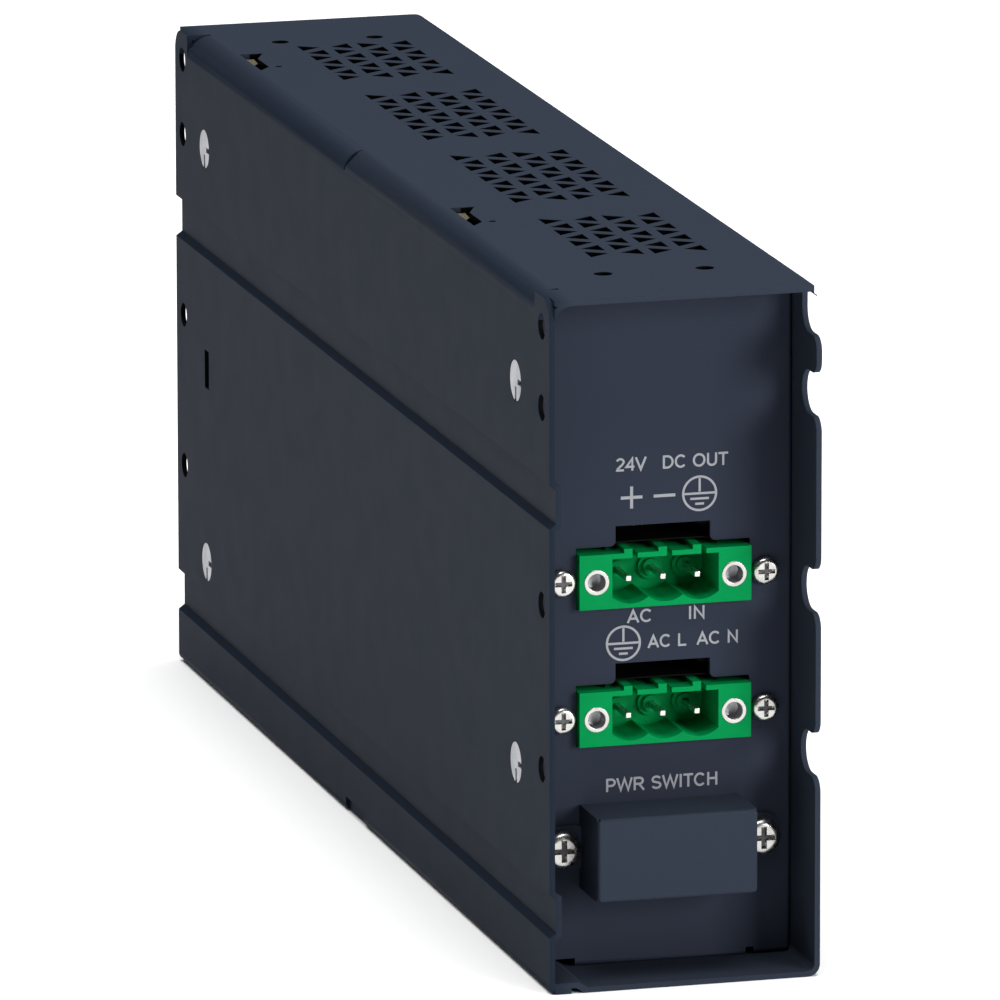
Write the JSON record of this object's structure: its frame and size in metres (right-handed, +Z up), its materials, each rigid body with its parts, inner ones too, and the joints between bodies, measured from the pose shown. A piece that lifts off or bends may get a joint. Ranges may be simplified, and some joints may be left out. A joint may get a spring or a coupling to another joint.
{
  "type": "din rail power supply",
  "caption": "Slim sheet-metal AC/DC power supply with recessed front, pluggable screw-flange headers, vented lid and a rocker switch behind a folded guard.",
  "frame": {"origin": "centre of the underside", "axes": "+Y runs back along the depth from the connector end, +Z up, +X to the right when facing the connector end"},
  "size_m": [0.04, 0.2132, 0.1005],
  "materials": {
    "painted_steel": "dark slate fine-texture paint",
    "painted_panel": "dark slate fine-texture paint",
    "header_green": "moulded polyamide",
    "bright_nickel": "nickel plate",
    "tinned": "tin plate",
    "zinc": "zinc plate",
    "black_plastic": "moulded",
    "board_green": "solder mask",
    "ferrite": "ferrite",
    "tape_yellow": "polyester tape",
    "can_black": "sleeved can",
    "copper_wire": "enamelled copper",
    "film_yellow": "potted box",
    "aluminium_sink": "extruded",
    "glass": "clear",
    "film": "polyester film",
    "brass": "turned"
  },
  "bodies": {
    "case": {"housing": "painted_steel", "front_panel": "painted_panel", "rear_panel": "painted_panel", "side_screws": "bright_nickel", "dc_output_header": "header_green", "ac_input_header": "header_green", "dc_header_pins": "tinned", "dc_header_flange_nuts": "bright_nickel", "dc_header_card": "board_green", "dc_header_spacers": "bright_nickel", "ac_header_pins": "tinned", "ac_header_flange_nuts": "bright_nickel", "ac_header_card": "board_green", "ac_header_spacers": "bright_nickel", "header_screws": "bright_nickel", "switch_guard": "painted_steel", "switch_guard_screws": "bright_nickel", "switch_body": "black_plastic", "switch_terminals": "tinned", "board_tray": "zinc", "main_board": "board_green", "board_standoffs": "brass", "board_screws": "bright_nickel", "insulating_film": "film", "transformer_core": "ferrite", "transformer_winding": "tape_yellow", "bulk_capacitor": "can_black", "output_capacitors": "can_black", "interference_capacitor": "film_yellow", "mains_choke": "copper_wire", "output_choke": "copper_wire", "primary_heatsink": "aluminium_sink", "secondary_heatsink": "aluminium_sink", "power_transistors": "black_plastic", "heatsink_screws": "bright_nickel", "bridge_rectifier": "black_plastic", "mains_fuse": "glass", "fuse_clips": "tinned", "earth_stud": "brass", "earth_nut": "bright_nickel"},
    "rocker": {"rocker": "black_plastic"}
  },
  "joints": [
    {"name": "rocker_tilt", "type": "hinge", "parent": "case", "child": "rocker", "pos_m": [-0.0005, -0.0946, 0.0185], "axis": [0, 0, 1], "range_deg": [-24, 0]}
  ]
}
